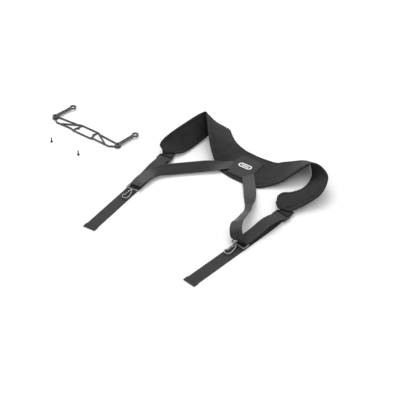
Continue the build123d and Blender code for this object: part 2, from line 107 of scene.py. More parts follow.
class Signal:
    # one output socket, so that a + b adds a Math node
    def __init__(self, finish, socket):
        self.finish = finish
        self.socket = socket

    def combined(self, operation, first, second):
        return self.finish.node("Math", {"operation": operation}, {0: first, 1: second})

    def __add__(self, other):
        return self.combined("ADD", self, other)

    def __radd__(self, other):
        return self.combined("ADD", other, self)

    def __sub__(self, other):
        return self.combined("SUBTRACT", self, other)

    def __rsub__(self, other):
        return self.combined("SUBTRACT", other, self)

    def __mul__(self, other):
        return self.combined("MULTIPLY", self, other)

    def __rmul__(self, other):
        return self.combined("MULTIPLY", other, self)

    def sine(self):
        return self.combined("SINE", self, 0.0)

    def fold(self, width):
        return self.combined("PINGPONG", self, width)

    def size(self):
        return self.combined("ABSOLUTE", self, 0.0)

    def power(self, exponent):
        return self.combined("POWER", self, exponent)


class Finish:
    # one material; node() makes any shader node, settings first, then its sockets
    def __init__(self, name):
        self.material = bpy.data.materials.new(name)
        self.material.use_nodes = True
        self.tree = self.material.node_tree
        self.tree.nodes.clear()

    def node(self, kind, settings=None, sockets=None, give=0):
        made = self.tree.nodes.new("ShaderNode" + kind)
        for key, value in (settings or {}).items():
            if key == "stops":
                for index, (place, shade) in enumerate(value):
                    elements = made.color_ramp.elements
                    stop = elements[index] if index < 2 else elements.new(place)
                    stop.position = place
                    stop.color = (*shade, 1)
            else:
                setattr(made, key, value)
        for key, value in (sockets or {}).items():
            if isinstance(value, Signal):
                self.tree.links.new(value.socket, made.inputs[key])
            else:
                made.inputs[key].default_value = value
        return Signal(self, made.outputs[give]) if made.outputs else made

    def lay(self):
        # place in the cloth: along it, across it and through it, in metres
        place = self.node("Attribute", {"attribute_name": "lay"}, give=1)
        return [self.node("SeparateXYZ", sockets={0: place}, give=axis) for axis in range(3)]

    def spot(self):
        return self.node("TexCoord", give=3)

    def speckle(self, scale, detail=3.0, vector=None):
        return self.node("TexNoise", sockets={"Vector": vector or self.spot(), "Scale": scale,
                                              "Detail": detail, "Roughness": 0.6})

    def shades(self, amount, dark, light, low=0.3, high=0.7):
        return self.node("ValToRGB", {"stops": [(low, dark), (high, light)]}, {0: amount})

    def done(self, colour, roughness, height=None, strength=0.4, depth=0.0003, **fixed):
        sockets = {"Base Color": colour, "Roughness": roughness}
        if height is not None:
            sockets["Normal"] = self.node("Bump", sockets={"Strength": strength, "Distance": depth,
                                                           "Height": height})
        sockets.update({key.replace("_", " "): value for key, value in fixed.items()})
        shader = self.node("BsdfPrincipled", sockets=sockets)
        self.node("OutputMaterial", sockets={"Surface": shader})
        return self.material


clothValues = {
    "coverPitch": 0.00085, "meshPitch": 0.0021, "ribPitch": 0.0011,
    "satinPitch": 0.00075, "satinLean": 900, "bonePitch": 0.0019, "boneColumn": 0.0042,
    "threadTwist": 0.0006, "threadLean": 6000,
}
turn = 2 * math.pi


def padCoverCloth():
    # plain-woven nylon over foam, with a faint nap
    look = Finish("padCoverCloth")
    along, across, _ = look.lay()
    warp = (along * (turn / clothValues["coverPitch"])).sine()
    weft = (across * (turn / clothValues["coverPitch"])).sine()
    patchy = look.speckle(24, 5)
    mottle = look.speckle(170, 4)
    lint = look.speckle(900, 2)
    tone = patchy * 0.35 + mottle * 0.4 + lint * 0.25 + warp * weft * 0.06
    colour = look.shades(tone, (0.003, 0.003, 0.0034), (0.023, 0.023, 0.0245), 0.38, 0.62)
    height = warp * weft * 0.5 + lint * 0.6
    return look.done(colour, 0.68 + patchy * 0.2, height, 0.6, 0.0002, Sheen_Weight=0.07,
                  Sheen_Roughness=0.45, Specular_IOR_Level=0.26)


def padLiningCloth():
    # soft spacer mesh that lies against the wearer
    look = Finish("padLiningCloth")
    along, across, _ = look.lay()
    pitch = clothValues["meshPitch"]
    straight = (along * (turn / pitch)).sine()
    slanting = (along * (turn / pitch / 2) + across * (turn / pitch)).sine()
    holes = (straight * slanting).size()
    patchy = look.speckle(19, 4)
    mottle = look.speckle(150, 4)
    lint = look.speckle(700, 2)
    tone = patchy * 0.35 + mottle * 0.3 + lint * 0.2 + holes * 0.18
    colour = look.shades(tone, (0.004, 0.004, 0.0045), (0.029, 0.029, 0.031), 0.36, 0.64)
    return look.done(colour, 0.74 + patchy * 0.16, holes + lint * 0.35, 0.6, 0.0003,
                  Sheen_Weight=0.06, Sheen_Roughness=0.5, Specular_IOR_Level=0.25)


def bindingTape():
    # ribbed tape folded over the pad's edge, worn in patches
    look = Finish("bindingTape")
    along, _, _ = look.lay()
    ribs = (along * (turn / clothValues["ribPitch"])).sine()
    lint = look.speckle(600, 2)
    worn = look.speckle(40, 4)
    tone = lint * 0.4 + worn * 0.35 + ribs * 0.1 + 0.1
    colour = look.shades(tone, (0.004, 0.004, 0.0046), (0.017, 0.017, 0.018))
    return look.done(colour, 0.58 + worn * 0.2, ribs * 0.5 + lint * 0.3, 0.5, 0.0002,
                  Sheen_Weight=0.04, Specular_IOR_Level=0.3)


def satinTape():
    # seat-belt weave: tight lengthwise ribs with a soft gloss
    look = Finish("satinTape")
    along, across, _ = look.lay()
    ribs = (across * (turn / clothValues["satinPitch"] / 2)).sine()
    picks = (along * (turn / clothValues["satinPitch"]) + across * clothValues["satinLean"]).sine()
    streaks = look.node("TexNoise", sockets={
        "Vector": look.node("CombineXYZ", sockets={0: along * 7, 1: across * 520, 2: 0.0}),
        "Scale": 1.0, "Detail": 3.0})
    tone = streaks * 0.8 + ribs * 0.1 + picks * 0.07 + 0.1
    colour = look.shades(tone, (0.003, 0.003, 0.0034), (0.027, 0.027, 0.0288), 0.36, 0.66)
    return look.done(colour, 0.33 + streaks * 0.16, ribs * 0.6 + picks * 0.4, 0.35, 0.00012,
                  Sheen_Weight=0.05, Sheen_Roughness=0.3, Specular_IOR_Level=0.36)


def herringboneWebbing():
    # twill ribs that change direction at every column
    look = Finish("herringboneWebbing")
    along, across, _ = look.lay()
    zigzag = along + across.fold(clothValues["boneColumn"])
    bones = (zigzag * (turn / clothValues["bonePitch"])).sine()
    columns = (across * (math.pi / clothValues["boneColumn"])).sine().size().power(0.35)
    lint = look.speckle(800, 2)
    worn = look.speckle(110, 4)
    tone = bones * 0.22 + columns * 0.3 + lint * 0.2 + worn * 0.4 - 0.08
    colour = look.shades(tone, (0.006, 0.006, 0.0065), (0.052, 0.052, 0.0545))
    return look.done(colour, 0.62 + worn * 0.18, bones * 0.6 + columns * 0.5 + lint * 0.2, 0.7, 0.0004,
                  Sheen_Weight=0.06, Specular_IOR_Level=0.35)


def sewingThread():
    look = Finish("sewingThread")
    along, across, _ = look.lay()
    twist = (along * (turn / clothValues["threadTwist"]) + across * clothValues["threadLean"]).sine()
    tone = twist * 0.4 + look.speckle(500, 2) * 0.6
    colour = look.shades(tone, (0.012, 0.012, 0.013), (0.034, 0.034, 0.037))
    return look.done(colour, 0.5 + twist * 0.08, twist, 0.5, 0.0001)


def patchRubber():
    # leathery rubber with a pebbled grain
    look = Finish("patchRubber")
    pebbles = look.node("TexVoronoi", sockets={"Vector": look.spot(), "Scale": 900.0})
    patchy = look.speckle(35, 4)
    colour = look.shades(patchy * 0.7 + pebbles * 0.3, (0.007, 0.007, 0.0076), (0.026, 0.026, 0.0276))
    return look.done(colour, 0.54 + patchy * 0.2, pebbles, 0.35, 0.00015, Specular_IOR_Level=0.35)


def whitePrint():
    look = Finish("whitePrint")
    grain = look.speckle(1200, 2)
    colour = look.shades(grain, (0.78, 0.78, 0.79), (0.9, 0.9, 0.9))
    return look.done(colour, 0.45 + grain * 0.15, grain, 0.2, 0.00006)


def mouldedPlastic():
    # acetal with a fine spark texture and rubbed corners
    look = Finish("mouldedPlastic")
    spark = look.speckle(1500, 3)
    rub = look.node("NewGeometry", give=7)
    rubbed = look.shades(rub, (0.006, 0.006, 0.0065), (0.035, 0.035, 0.037), 0.5, 0.62)
    return look.done(rubbed, 0.40 + spark * 0.2, spark, 0.3, 0.00008, Specular_IOR_Level=0.4)


def blastedWire():
    # grey nickel plate over cast zinc, a little scuffed
    look = Finish("blastedWire")
    scuffs = look.node("TexNoise", sockets={"Vector": look.node("Mapping", sockets={
        "Vector": look.spot(), "Scale": (1, 1, 7)}), "Scale": 420.0, "Detail": 5.0})
    dull = look.speckle(90, 4)
    colour = look.shades(dull, (0.20, 0.20, 0.206), (0.34, 0.34, 0.348))
    return look.done(colour, 0.24 + scuffs * 0.22, scuffs, 0.15, 0.00005, Metallic=1.0)


def anodised(name, dark, light):
    # bead-blasted and anodised, with paler rubbed patches
    look = Finish(name)
    beads = look.speckle(1400, 2)
    worn = look.shades(look.speckle(160, 5) * 0.7 + beads * 0.3, dark, light, 0.38, 0.68)
    return look.done(worn, 0.46 + beads * 0.18, beads, 0.3, 0.00008, Metallic=0.2)


def blackOxide():
    look = Finish("blackOxide")
    beads = look.speckle(1100, 3)
    colour = look.shades(beads, (0.004, 0.004, 0.0045), (0.018, 0.018, 0.019))
    return look.done(colour, 0.38 + beads * 0.2, beads, 0.2, 0.00005, Specular_IOR_Level=0.4)


def paleFloor():
    look = Finish("paleFloor")
    cloud = look.speckle(2.0, 2)
    shade = lightValues["floor"]
    colour = look.shades(cloud, (shade, shade, shade), (shade + 0.01, shade + 0.01, shade + 0.01))
    return look.done(colour, 0.9, Specular_IOR_Level=0.0)


coverCloth = padCoverCloth()
liningCloth = padLiningCloth()
tapeCloth = bindingTape()
satinCloth = satinTape()
webbingCloth = herringboneWebbing()
threadFinish = sewingThread()
rubberFinish = patchRubber()
printFinish = whitePrint()
plasticFinish = mouldedPlastic()
wireFinish = blastedWire()
trussFinish = anodised("trussAnodised", (0.026, 0.027, 0.0285), (0.09, 0.09, 0.094))
armFinish = anodised("armAnodised", (0.042, 0.044, 0.047), (0.12, 0.12, 0.125))
screwFinish = blackOxide()
floorFinish = paleFloor()
print("finishes are made")


def addFloor():
    half = lightValues["floorHalf"]
    data = bpy.data.meshes.new("floor")
    data.from_pydata([(-half, -half, 0), (half, -half, 0), (half, half, 0), (-half, half, 0)],
                     [], [(0, 1, 2, 3)])
    data.materials.append(floorFinish)
    floor = bpy.data.objects.new("floor", data)
    bpy.context.scene.collection.objects.link(floor)


addFloor()


def newPiece(name, points, faces, finish, lay=None, sharp=40):
    data = bpy.data.meshes.new(name)
    data.from_pydata([tuple(point) for point in points], [], faces)
    data.materials.append(finish)
    if lay:
        attribute = data.attributes.new("lay", "FLOAT_VECTOR", "POINT")
        attribute.data.foreach_set("vector", [value for place in lay for value in place])
    data.validate()
    data.shade_smooth()
    data.set_sharp_from_angle(angle=math.radians(sharp))
    piece = bpy.data.objects.new(name, data)
    bpy.context.scene.collection.objects.link(piece)
    return piece


def ringFaces(rings, count, start=0):
    # side faces of a form built from equal rings of points, and the faces that close its ends
    faces = []
    for ring in range(rings - 1):
        for corner in range(count):
            near = start + ring * count + corner
            far = start + ring * count + (corner + 1) % count
            faces.append((near, far, far + count, near + count))
    last = start + (rings - 1) * count
    return faces + [tuple(range(start, start + count))[::-1], tuple(range(last, last + count))]


def curvePoint(before, first, second, after, share):
    # smooth curve through its points; it never dips below both neighbours
    point = 0.5 * (2 * first + (second - before) * share
                   + (2 * before - 5 * first + 4 * second - after) * share ** 2
                   + (3 * first - before - 3 * second + after) * share ** 3)
    point.z = max(point.z, min(first.z, second.z))
    return point


def through(points, steps):
    last = len(points) - 1
    line = []
    for index in range(last):
        four = [points[max(index - 1, 0)], points[index], points[index + 1],
                points[min(index + 2, last)]]
        line += [curvePoint(*four, step / steps) for step in range(steps)]
    return line + [points[last].copy()]


def bandRows(pairs, steps, width=None):
    # each row: its two edges, the way its outer face looks, and how far along it is
    firsts = through([Vector(pair[0]) * mm for pair in pairs], steps)
    seconds = through([Vector(pair[1]) * mm for pair in pairs], steps)
    middles = [(first + second) / 2 for first, second in zip(firsts, seconds)]
    rows, travelled = [], 0.0
    for index, middle in enumerate(middles):
        across = (seconds[index] - firsts[index]).normalized()
        half = width / 2 if width else (seconds[index] - firsts[index]).length / 2
        ahead = middles[min(index + 1, len(middles) - 1)] - middles[max(index - 1, 0)]
        outward = across.cross(ahead).normalized()
        if index:
            travelled += (middle - middles[index - 1]).length
        rows.append((middle - across * half, middle + across * half, outward, travelled))
    return rows


def runRows(points, rights, width):
    # the same rows from a middle line, with the way to the right at each point
    rows, travelled = [], 0.0
    for index, (point, right) in enumerate(zip(points, rights)):
        ahead = points[min(index + 1, len(points) - 1)] - points[max(index - 1, 0)]
        outward = right.cross(ahead).normalized()
        if index:
            travelled += (point - points[index - 1]).length
        rows.append((point - right * width / 2, point + right * width / 2, outward, travelled))
    return rows


def bandPiece(name, rows, section, finish, lowest=0.00005):
    # section(row number) gives a closed outline of (share across, height)
    points, lay = [], []
    for index, (first, second, outward, travelled) in enumerate(rows):
        middle, reach = (first + second) / 2, (second - first) / 2
        outline = section(index)
        for share, height in outline:
            point = middle + reach * share + outward * height
            point.z = max(point.z, lowest)
            points.append(point)
            lay.append((travelled, reach.length * share, height))
    return newPiece(name, points, ringFaces(len(rows), len(section(0))), finish, lay)


def tapeSection(thick, ridge=0.0):
    # flat tape with woven edges that stand a little proud
    half = thick / 2
    upper = [(-1.0, 0.35), (-0.985, 0.85), (-0.95, 1.0 + ridge), (-0.9, 1.0), (-0.6, 1.0),
             (-0.3, 1.0), (0.0, 1.0), (0.3, 1.0), (0.6, 1.0), (0.9, 1.0), (0.95, 1.0 + ridge),
             (0.985, 0.85), (1.0, 0.35)]
    return [(share, height * half) for share, height in upper] + [
        (share, -height * half) for share, height in reversed(upper)]


stitchValues = {"length": 0.0026, "gap": 0.0008, "thread": 0.00032, "sides": 6}


def stitchRow(name, line, outwards, body):
    # a row of thread stitches laid on a line, each rising out of the cloth and back
    length, sides = stitchValues["length"], stitchValues["sides"]
    points, faces, lay, places = [], [], [], []
    travelled, nextStart = 0.0, 0.0
    for index in range(len(line) - 1):
        step = (line[index + 1] - line[index]).length
        while step > 0 and nextStart <= travelled + step:
            share = (nextStart - travelled) / step
            places.append((line[index].lerp(line[index + 1], share),
                           outwards[index].lerp(outwards[index + 1], share).normalized(),
                           (line[index + 1] - line[index]).normalized()))
            nextStart += length + stitchValues["gap"]
        travelled += step
    shape = [(-0.5, 0.25, -0.35), (-0.38, 0.9, 0.25), (0.0, 1.0, 0.45), (0.38, 0.9, 0.25),
             (0.5, 0.25, -0.35)]
    radius = stitchValues["thread"]
    for place, outward, ahead in places:
        side = outward.cross(ahead).normalized()
        start = len(points)
        for share, fat, lift in shape:
            for corner in range(sides):
                angle = turn * corner / sides
                points.append(place + ahead * share * length
                              + outward * radius * (lift + fat * math.sin(angle))
                              + side * radius * fat * math.cos(angle))
                lay.append((share * length, corner * 0.0001, 0.0))
        faces += ringFaces(len(shape), sides, start)
    piece = newPiece(name, points, faces, threadFinish, lay)
    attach(piece, body)


padValues = {
    "edgeHalf": 0.0024,      # half thickness at the binding
    "coverCrown": 0.0021,    # how much further the cover rises in its middle
    "liningCrown": 0.0018,
    "channelInset": 0.0125,  # sewn channel, from the pad's edge
    "channelDepth": 0.0013, "channelWidth": 0.0014,
    "crumple": 0.0013, "crumpleScale": 21.0,
    "wrinkleShare": 0.35, "wrinkleScale": 95,
    "flatRim": 0.012,        # the crumples fade out this close to the edge
    "faceInset": 0.0008,     # how far the faces stop inside the binding
    "bindingWidth": 0.0065, "bindingThick": 0.00055,
    "bindingLip": 0.0004, "bindingShoulder": 0.0016,
    "stitchInset": 0.0045, "tip": 0.0085, "steps": 6,
}

# the two edges of the pad's middle surface, from the left pad end to the right one, in mm
yokeStations = [
    ((-216, -86, 13), (-243, -92, 18)),
    ((-200, -76, 11), (-258, -86, 25)),
    ((-189, -56, 8), (-261, -68, 35)),
    ((-186, -26, 5), (-246, -40, 56)),
    ((-186, 20, 4), (-236, 12, 66)),
    ((-188, 70, 4), (-230, 66, 70)),
    ((-190, 108, 4), (-222, 98, 72)),
    ((-184, 127, 5), (-214, 96, 73)),
    ((-172, 139, 5), (-203, 83, 71)),
    ((-150, 140, 7), (-180, 58, 66)),
    ((-118, 113, 7), (-145, 18, 57)),
    ((-85, 92, 6), (-105, -21, 35)),
    ((-45, 81, 2.9), (-56, -51, 2.9)),
    ((-20, 78, 2.9), (-22, -61, 2.9)),
    ((15, 76, 2.9), (18, -66, 2.9)),
    ((68, 82, 2.9), (90, -62, 2.9)),
    ((86, 98, 4), (124, -34, 9)),
    ((104, 116, 4), (150, -4, 20)),
    ((128, 140, 4), (176, 44, 45)),
    ((152, 146, 4), (196, 72, 60)),
    ((174, 122, 4), (222, 80, 60)),
    ((194, 90, 4), (258, 66, 52)),
    ((205, 50, 4), (276, 34, 46)),
    ((206, 10, 7), (282, -10, 34)),
    ((194, -28, 13), (266, -54, 20)),
    ((178, -48, 16), (250, -88, 13)),
    ((176, -72, 18), (242, -108, 13)),
    ((186, -93, 17), (222, -113, 14)),
]
padRows = bandRows(yokeStations, padValues["steps"])


def tipRows(row, ahead):
    # rows that close a pad end in a half ellipse
    first, second, outward, travelled = row
    middle, reach = (first + second) / 2, (second - first) / 2
    made = []
    for step in range(1, 7):
        angle = math.radians(15 * step)
        shrink = max(math.cos(angle), 0.02)
        shift = ahead * padValues["tip"] * math.sin(angle)
        made.append((middle - reach * shrink + shift, middle + reach * shrink + shift, outward,
                     travelled + padValues["tip"] * math.sin(angle)))
    return made


def padEnds():
    starts = (padRows[0][0] + padRows[0][1] - padRows[1][0] - padRows[1][1]).normalized()
    ends = (padRows[-1][0] + padRows[-1][1] - padRows[-2][0] - padRows[-2][1]).normalized()
    return starts, ends


startAhead, endAhead = padEnds()
wholePad = tipRows(padRows[0], startAhead)[::-1] + padRows + tipRows(padRows[-1], endAhead)


def padHeight(fromEdge, halfWidth, crown):
    # height of a pad face over its middle surface, at a distance in from its edge
    share = min(fromEdge / max(halfWidth, 0.001), 1.0)
    rise = 1 - (1 - share) ** 3
    height = padValues["edgeHalf"] + crown * rise
    gap = (fromEdge - padValues["channelInset"]) / padValues["channelWidth"]
    if halfWidth > 2 * padValues["channelInset"]:
        height -= padValues["channelDepth"] * math.exp(-gap * gap)
    return height


def padFace(name, side, crown, finish):
    # one face of the pad, from its middle surface outward on one side
    shares = [0.0, 0.02, 0.05, 0.09, 0.13, 0.17, 0.22, 0.27, 0.30, 0.33, 0.37, 0.43, 0.5,
              0.58, 0.66, 0.75, 0.84, 0.92, 1.0]

    def section(index):
        first, second, _, _ = wholePad[index]
        half = (second - first).length / 2
        reach = 1 - padValues["faceInset"] / max(half, 0.0012)
        outline = []
        for share in shares + shares[-2::-1]:
            isFirst = len(outline) < len(shares)
            fromEdge = share * half
            across = (-1 + share) if isFirst else (1 - share)
            height = padHeight(fromEdge, half, crown)
            if share == 0.0:
                height *= 0.45
            place = (first + second) / 2 + (second - first) / 2 * across
            crumple = noise.noise(place * padValues["crumpleScale"]) * padValues["crumple"]
            wrinkle = noise.noise(place * padValues["wrinkleScale"]) * padValues["wrinkleShare"]
            crumple += wrinkle * padValues["crumple"]
            height += crumple * min(1.0, fromEdge / padValues["flatRim"])
            outline.append((across * reach, side * height))
        return outline + [(0.9, 0.0), (-0.9, 0.0)]

    piece = bandPiece(name, wholePad, section, finish)
    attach(piece, "harness")
    return piece


padCover = padFace("padCover", 1, padValues["coverCrown"], coverCloth)
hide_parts("yoke_cover", "yoke_foam")
padLining = padFace("padLining", -1, padValues["liningCrown"], liningCloth)
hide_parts("yoke_lining")


def padOutline(inset):
    # closed line round the pad: each point with its outward way and the face's normal
    spots = []
    for first, second, outward, _ in padRows:
        way = (first - second).normalized()
        spots.append((first - way * inset, way, outward))
    first, second, outward, _ = padRows[-1]
    spots += tipArc(first, second, outward, endAhead, inset)
    for first, second, outward, _ in reversed(padRows):
        way = (second - first).normalized()
        spots.append((second - way * inset, way, outward))
    first, second, outward, _ = padRows[0]
    spots += tipArc(second, first, outward, startAhead, inset)
    return spots


def tipArc(start, stop, outward, ahead, inset):
    middle, reach = (start + stop) / 2, (start - stop) / 2
    spots = []
    for step in range(1, 12):
        angle = math.radians(15 * step)
        way = (reach.normalized() * math.cos(angle) + ahead * math.sin(angle)).normalized()
        place = middle + reach * math.cos(angle) + ahead * padValues["tip"] * math.sin(angle)
        spots.append((place - way * inset, way, outward))
    return spots


def addBinding():
    # tape folded over the pad's edge all the way round
    width, thick, top = padValues["bindingWidth"], padValues["bindingThick"], padValues["edgeHalf"]
    lip, shoulder = padValues["bindingLip"], padValues["bindingShoulder"]
    upper = [(-width, top + lip), (-width + lip, top + thick + lip),
             (-width * 0.5, top + thick + lip / 2), (-shoulder, top * 0.92 + thick * 0.7),
             (-lip, top * 0.55)]
    lower = [(reach, -height) for reach, height in reversed(upper)]
    profile = upper + [(lip / 2, 0.0)] + lower
    spots = padOutline(0.0)
    points, lay, faces, travelled = [], [], [], 0.0
    for index, (place, way, outward) in enumerate(spots):
        if index:
            travelled += (place - spots[index - 1][0]).length
        ripple = noise.noise(place * 210) * 0.00018
        for reach, height in profile:
            point = place + way * (reach + ripple) + outward * height
            point.z = max(point.z, 0.00005)
            points.append(point)
            lay.append((travelled, reach, height))
    count, total = len(profile), len(spots)
    for spot in range(total):
        for corner in range(count):
            near, far = spot * count + corner, spot * count + (corner + 1) % count
            shift = ((spot + 1) % total - spot) * count
            faces.append((near, far, far + shift, near + shift))
    piece = newPiece("edgeBinding", points, faces, tapeCloth, lay, 60)
    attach(piece, "harness")
    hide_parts("edge_binding")


addBinding()
edgeLine = padOutline(padValues["stitchInset"])
seamHeight = padValues["edgeHalf"] + padValues["bindingThick"] + 0.0003
lowestStitch = 0.00045                       # the thread stays above the table
for faceName, side in (("Cover", 1), ("Lining", -1)):
    seam = [place + outward * side * seamHeight for place, _, outward in edgeLine]
    seamWay = [outward * side for _, _, outward in edgeLine]
    seam = [Vector((spot.x, spot.y, max(spot.z, lowestStitch))) for spot in seam]
    stitchRow("bindingStitches" + faceName, seam + seam[:1], seamWay + seamWay[:1], "harness")
print("padded yoke is made")


patchValues = {
    "shape": [(-40, 50), (40, 50), (44, -6), (27, -52), (-27, -52), (-44, -6)],   # mm
    "corner": 0.006, "inset": 0.0042, "groove": 0.00035, "grooveHalf": 0.0012, "edge": 0.0006,
    "sink": 0.0006,          # how far it is pressed into the cover
}


def roundedOutline(corners, radius, steps=6):
    outline = []
    for index, corner in enumerate(corners):
        before, after = corners[index - 1], corners[(index + 1) % len(corners)]
        toBefore, toAfter = (before - corner).normalized(), (after - corner).normalized()
        half = toBefore.angle(toAfter) / 2
        reach = radius / math.tan(half)
        start, stop = corner + toBefore * reach, corner + toAfter * reach
        centre = corner + (toBefore + toAfter).normalized() * radius / math.sin(half)
        for step in range(steps + 1):
            spot = start.lerp(stop, step / steps)
            outline.append(centre + (spot - centre).normalized() * radius)
    return outline


def addPatch():
    low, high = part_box("centre_patch")
    centre = Vector(((low.x + high.x) / 2, (low.y + high.y) / 2, 0))
    shape = patchValues["shape"]
    middleY = (max(y for x, y in shape) + min(y for x, y in shape)) / 2
    corners = [centre + Vector((x, y - middleY, 0)) * mm for x, y in shape]
    outline = roundedOutline(corners, patchValues["corner"])
    heart = sum(outline, Vector()) / len(outline)
    inset, groove, edge = patchValues["inset"], patchValues["groove"], patchValues["edge"]
    half, top = patchValues["grooveHalf"], high.z
    rings = [(0.0, low.z - patchValues["sink"]), (0.0, top - edge * 1.5),
             (edge * 0.3, top - edge * 0.5), (edge * 1.2, top - 0.0001), (inset - half, top),
             (inset, top - groove), (inset + half, top), (inset + 0.006, top)]
    points = []
    for shrink, height in rings:
        for spot in outline:
            way = (heart - spot).normalized()
            points.append(spot + way * shrink + up * height)
    piece = newPiece("backPatch", points, ringFaces(len(rings), len(outline)), rubberFinish)
    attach(piece, "harness")
    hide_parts("centre_patch")
    depth = up * (top - groove * 0.4)
    seam = [spot + (heart - spot).normalized() * inset + depth for spot in outline]
    stitchRow("patchStitches", seam + seam[:1], [up] * (len(seam) + 1), "harness")


addPatch()
print("patch is made")


webValues = {
    "width": 0.038, "thick": 0.0016, "edgeRidge": 0.06,
    "ringRadius": 0.00255, "barRadius": 0.00295, "barPitch": 0.0105,
    "lap": 0.026, "lapStitches": (0.020, 0.0225), "lapStitchHalf": 0.016,
    "bight": 0.016, "cut": 0.0012, "drop": 0.042,
    "bow": {"left": 0.004, "right": 0.0095},     # how far each front strap bows up
    "foldBlend": 0.008,
}


class FrontLine:
    # one side's strap line, read from its joints
    def __init__(self, word):
        self.word = word
        self.ring = Vector(joints[word + "_ring_flip"]["pos_m"])
        self.rear = Vector(joints[word + "_buckle_tilt"]["pos_m"])
        self.fold = Vector(joints[word + "_tail_fold"]["pos_m"])
        along = self.rear - self.ring
        along.z = 0
        self.length = along.length - webValues["barPitch"]
        self.along = along.normalized()
        self.right = self.along.cross(up)
        axis = Vector(joints[word + "_tail_fold"]["axis"])
        self.tail = up.cross(axis).normalized()
        hem = frame["nodes"][word + "_tail_hem"].data.vertices
        self.toEnd = max((Vector(corner.co) - self.fold).dot(self.tail) for corner in hem)

    def spot(self, distance, height):
        # a point over the strap's line, from the ring's bar towards the buckle
        place = self.ring + self.along * distance
        return Vector((place.x, place.y, height))

    def tailSpot(self, distance, height):
        # a point over the tail's line, from the fold towards the free end
        place = self.fold + self.tail * distance
        return Vector((place.x, place.y, height))

    def arc(self, distance, height, radius, start, stop, steps=10):
        angles = [math.radians(start + (stop - start) * step / steps) for step in range(steps + 1)]
        return [self.spot(distance + radius * math.cos(angle), height + radius * math.sin(angle))
                for angle in angles]


def spread(start, stop, steps):
    return [start.lerp(stop, step / steps) for step in range(steps)]


def flatTape(line, part, rows, finish):
    ridge = webValues["edgeRidge"]
    return bandPiece(line.word + part, rows, lambda _: tapeSection(webValues["thick"], ridge), finish)


def addFrontWebbing(line):
    # from the sewn lap, round the ring's bar and up to the buckle's middle bar
    ringZ, barZ = line.ring.z, line.rear.z
    thick = webValues["thick"]
    lapStart = line.spot(webValues["lap"], ringZ + webValues["ringRadius"] - thick * 0.95)
    ringArc = line.arc(0, ringZ, webValues["ringRadius"], 270, 90)
    top = line.spot(line.length, barZ + webValues["barRadius"])
    points = spread(lapStart, ringArc[0], 8) + ringArc[:-1]
    bowStart = len(points)
    points += spread(ringArc[-1], top, 24) + [top]
    for index in range(bowStart, len(points) - 1):
        share = (index - bowStart) / (len(points) - bowStart - 1)
        points[index].z += webValues["bow"][line.word] * math.sin(math.pi * share ** 1.5) ** 2
        points[index].z += noise.noise(points[index] * 30) * 0.0005
    rows = runRows(points, [line.right] * len(points), webValues["width"])
    piece = flatTape(line, "FrontWebbing", rows, webbingCloth)
    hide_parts(line.word + "_front_strap")
    line.spot(line.length - webValues["bight"] - 0.012, barZ)
    line.spot(line.length - 0.005, barZ)
    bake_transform(piece)
    rise = (top.z - ringArc[-1].z) / line.length
    for number, place in enumerate(webValues["lapStitches"]):
        height = ringArc[-1].z + rise * place + thick * 0.53
        ends = [line.spot(place, height) + line.right * side * webValues["lapStitchHalf"]
                for side in (-1, 1)]
        stitchRow(f"{line.word}LapStitches{number}", ends, [up, up], "harness")


def addAdjusterWebbing(line):
    # round the middle bar, back under the strap and down to the table
    barZ, radius, thick = line.rear.z, webValues["barRadius"], webValues["thick"]
    points = line.arc(line.length, barZ, radius, 90, -90)
    turnStart = len(points) - 1
    under = line.spot(line.length - webValues["bight"], barZ - radius)
    tailRight = up.cross(line.tail)
    start = line.spot(line.length - webValues["bight"] - webValues["cut"], 0)
    startAt = (start - line.fold).dot(line.tail)
    lineEnd = -webValues["foldBlend"] - 0.002
    lower = [(startAt + 0.004, barZ - radius), (startAt + webValues["drop"] * 0.5, 0.0029),
             (startAt + webValues["drop"], thick / 2)]
    tailPoints = through([under] + [line.tailSpot(distance, z) for distance, z in lower], 6)
    points += tailPoints
    ground = line.tailSpot(lineEnd, thick / 2)
    points += spread(tailPoints[-1], ground, 20)[1:] + [ground]
    rights = []
    for index in range(len(points)):
        share = min(max((index - turnStart) / 8, 0), 1)
        rights.append(line.right.lerp(tailRight, share).normalized())
    rows = runRows(points, rights, webValues["width"])
    piece = flatTape(line, "AdjusterWebbing", rows, webbingCloth)
    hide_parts(line.word + "_strap_bight", line.word + "_tail_run")
    line.spot(line.length - webValues["bight"] - 0.030, barZ)
    line.spot(line.length - 0.004, barZ)
    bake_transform(piece)


hemValues = {
    "length": 0.017, "width": 0.040, "thick": 0.0032,
    "stitches": (0.0035, 0.0065), "stitchHalf": 0.0175,
}


def addTail(line):
    # the loose end, flat on the table
    thick, blend = webValues["thick"], webValues["foldBlend"]
    start = line.tailSpot(-blend - 0.002, thick / 2)
    stop = line.tailSpot(line.toEnd - hemValues["length"] * 0.6, thick / 2)
    points = spread(start, stop, 34) + [stop]
    tailRight = up.cross(line.tail)
    rows = runRows(points, [tailRight] * len(points), webValues["width"])
    piece = flatTape(line, "Tail", rows, webbingCloth)
    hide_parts(line.word + "_free_tail")
    line.tailSpot(-blend, thick)
    line.tailSpot(blend, thick)
    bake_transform(piece)
    addHem(line, tailRight)


